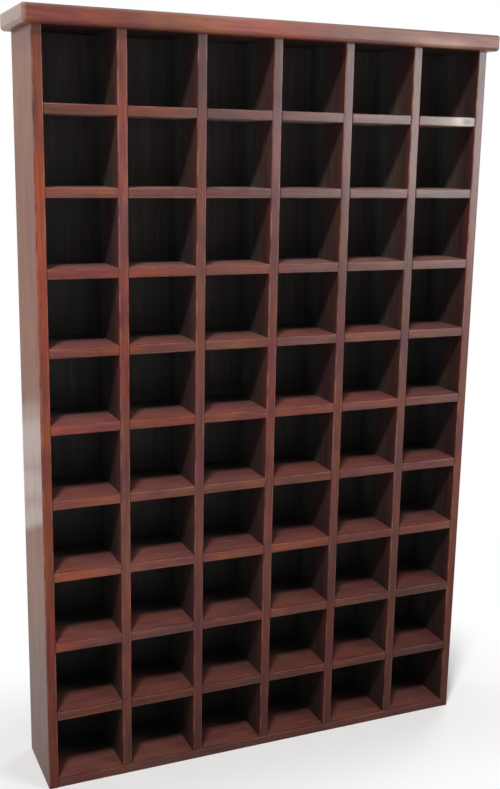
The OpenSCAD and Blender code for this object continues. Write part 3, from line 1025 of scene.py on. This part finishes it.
class RACK_OT_back_boards(Operator):
    """Builds the tongued and grooved back boards"""

    bl_idname = "rack.back_boards"
    bl_label = "Back boards"

    def execute(self, context):
        joints, edges, finish = groups(context)
        inside = (0.0, finish.back_stain), (1.0, finish.back_stain)
        stain = mahogany("back_mahogany", finish.back_outside, inside,
                         fineness=90.0, patches=0.3, gloss=0.0, worn_edges_and_shade=False)
        for number, node in enumerate(BACK_BOARDS):
            low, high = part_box(node)
            shoulder = high.x if node == BACK_BOARDS[-1] else high.x - joints.tongue
            groove = low.x if number == 0 else low.x + joints.tongue - joints.board_gap + joints.end_gap
            tongue_y = (low.y + high.y) / 2 - joints.tongue_t / 2
            tongue_end = tongue_y + joints.tongue_t
            groove_y, groove_end = tongue_y - joints.fit, tongue_end + joints.fit
            ys = [low.y, groove_y, tongue_y, tongue_end, groove_end, high.y]
            bm = lay_sheet(X, Y, Z, {low.x, high.x, shoulder, groove}, ys, low.z)
            drop(bm, lambda p: (p.x > shoulder and not tongue_y < p.y < tongue_end) or (
                p.x < groove and groove_y < p.y < groove_end))
            grow(bm, bm.faces[:], Z, high.z - low.z)
            close_up(bm)
            ease(bm, edges.board_chamfer, REAR_STEPS,
                 lambda p: near(p.y, high.y) and near(p.x, low.x, shoulder))
            slice_evenly(bm, Z, edges.slice_span * 2)
            bore_screws(bm, [COLUMN_XS[number]], [*SCREWED_ZS, BOTTOM_T / 2], countersunk=True)
            finish_board(bm, node + "_plank", [node], stain, Z, Y, 91 + number)
        return {"FINISHED"}


class RACK_OT_fastenings(Operator):
    """Finishes the dowels in beech and the back screws in plated steel"""

    bl_idname = "rack.fastenings"
    bl_label = "Dowels and screws"

    def execute(self, context):
        wood, steel = beech(), plated_steel()
        for node, material in (("top_dowels", wood), ("bottom_dowels", wood), ("back_screws", steel)):
            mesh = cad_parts[node].data
            mesh.materials.clear()
            mesh.materials.append(material)
        return {"FINISHED"}


# Studio

# Each lamp's place, the point that it faces, its width and height, and the setting of its power
LAMPS = {
    "key_lamp": ((-2.05, -2.90, 5.2), (-0.6, 0.0, 0.8), 0.65, 0.6, "key_power"),
    "right_lamp": ((1.9, -2.48, 4.1), (1.0, 0.0, 0.75), 1.6, 0.6, "right_power"),
    "sheen_lamp": ((2.9, -3.4, 1.8), (0.9, 0.0, 1.3), 1.8, 1.8, "sheen_power"),
    "left_rear_lamp": ((-3.2, 3.0, 2.6), (0.0, 0.0, 0.8), 1.8, 1.8, "rear_power"),
    "right_rear_lamp": ((3.2, 2.4, 2.6), (0.0, 0.0, 0.8), 1.8, 1.8, "rear_power"),
}
CAMERA_PLACE = (-0.92662, -2.1012, 1.30641)
CAMERA_TURN, CAMERA_TILT, CAMERA_LEAN = -23.4535, 77.4662, 1.0285  # In degrees
CAMERA_LENS = 49.34  # In millimetres, on a sensor 36 wide
WHITE = (1.0, 1.0, 1.0, 1.0)


class RACK_OT_studio(Operator):
    """Sets the pale floor, the white surroundings, the lamps and the camera"""

    bl_idname = "rack.studio"
    bl_label = "Studio"

    def execute(self, context):
        studio = context.scene.rack_studio
        self.lay_floor(studio)
        self.light_surroundings(context, studio)
        self.hang_lamps(studio)
        self.place_camera(context)
        context.scene.view_settings.view_transform = "Standard"
        return {"FINISHED"}

    def lay_floor(self, studio):
        """A round pale floor that fades to white away from the rack."""
        bm = bmesh.new()
        bmesh.ops.create_circle(bm, cap_ends=True, segments=96, radius=studio.floor_radius)
        mesh = bpy.data.meshes.new("floor")
        bm.to_mesh(mesh)
        bm.free()
        f = Finish(bpy.data.materials.new("pale_floor"))
        where = f.where()
        across, back, _ = f.split(where)
        beyond = (
            f.math("MAXIMUM", f.math("SUBTRACT", f.math("ABSOLUTE", value), limit), 0.0)
            for value, limit in ((across, OUTER_X), (back, BACK_Y))
        )
        fade = f.fit(f.distance(*beyond), studio.clear_from, studio.clear_to, smooth=True)
        shade = f.mix(f.speckle(where, grey(1.6), 3.0), darker(studio.floor, 0.985), studio.floor)
        diffuse = f.add("BsdfDiffuse", {"Color": shade, "Roughness": 0.0}).outputs[0]
        white = f.add("Emission", {"Color": WHITE, "Strength": 1.0}).outputs[0]
        mixed = f.add("MixShader", {0: f.times(fade, f.seen_directly()), 1: diffuse, 2: white}).outputs[0]
        mesh.materials.append(f.close(mixed))
        floor = put("floor", mesh)

    def light_surroundings(self, context, studio):
        """White where it is seen or mirrored, and a low even light on the rack."""
        f = Finish(bpy.data.worlds.new("surroundings"))
        level = f.fit(f.seen_directly(), 0.0, 1.0, studio.ambient, 1.0)
        background = f.add("Background", {"Color": WHITE, "Strength": level}).outputs[0]
        context.scene.world = f.close(background, "OutputWorld")

    def hang_lamps(self, studio):
        """Rectangular lamps that each face a point and aren't seen by the camera."""
        for name, (place, aim, wide, high, power) in LAMPS.items():
            light = bpy.data.lights.new(name, "AREA")
            light.shape = "RECTANGLE"
            light.size, light.size_y = wide, high
            light.energy = getattr(studio, power)
            lamp = put(name, light)
            lamp.location = place
            lamp.rotation_euler = (Vector(aim) - Vector(place)).to_track_quat("-Z", "Y").to_euler()
            lamp.visible_camera = False

    def place_camera(self, context):
        """Eye height, left of the rack, turned to its middle and a little down."""
        lens = bpy.data.cameras.new("camera")
        lens.sensor_fit = "AUTO"
        lens.sensor_width = 36.0
        lens.lens = CAMERA_LENS
        lens.clip_start, lens.clip_end = 0.05, 60.0
        camera = put("camera", lens)
        turns = ((CAMERA_TURN, "Z"), (CAMERA_TILT, "X"), (CAMERA_LEAN, "Z"))
        turn, tilt, lean = (Matrix.Rotation(math.radians(angle), 4, axis) for angle, axis in turns)
        camera.matrix_world = Matrix.Translation(CAMERA_PLACE) @ turn @ tilt @ lean
        context.scene.camera = camera


class RACK_PT_panel(Panel):
    """Lists the pieces of the rack"""

    bl_idname = "RACK_PT_panel"
    bl_label = "CD rack"
    bl_space_type = "VIEW_3D"
    bl_region_type = "UI"
    bl_category = "CD rack"

    def draw(self, context):
        layout = self.layout
        for step in STEPS:
            layout.operator(step.bl_idname)
        for title, group, kind in GROUPS:
            box = layout.box()
            box.label(text=title)
            for name in kind.__annotations__:
                box.prop(getattr(context.scene, group), name)


STEPS = (
    RACK_OT_studio,
    RACK_OT_sides,
    RACK_OT_top_board,
    RACK_OT_bottom_board,
    RACK_OT_dividers,
    RACK_OT_shelves,
    RACK_OT_back_boards,
    RACK_OT_fastenings,
)
GROUPS = (
    ("Joints", "rack_joints", RackJoints),
    ("Edges", "rack_edges", RackEdges),
    ("Finish", "rack_finish", RackFinish),
    ("Studio", "rack_studio", RackStudio),
)
CLASSES = (RackJoints, RackEdges, RackFinish, RackStudio, *STEPS, RACK_PT_panel)


def register():
    for item in CLASSES:
        bpy.utils.register_class(item)
    for _, group, kind in GROUPS:
        setattr(bpy.types.Scene, group, PointerProperty(type=kind))


def unregister():
    for _, group, _ in GROUPS:
        delattr(bpy.types.Scene, group)
    for item in reversed(CLASSES):
        bpy.utils.unregister_class(item)


def main():
    register()
    bpy.ops.rack.studio()
    bpy.ops.rack.sides()
    bpy.ops.rack.top_board()
    bpy.ops.rack.bottom_board()
    bpy.ops.rack.dividers()
    bpy.ops.rack.shelves()
    bpy.ops.rack.back_boards()
    bpy.ops.rack.fastenings()


if __name__ == "__main__":
    main()
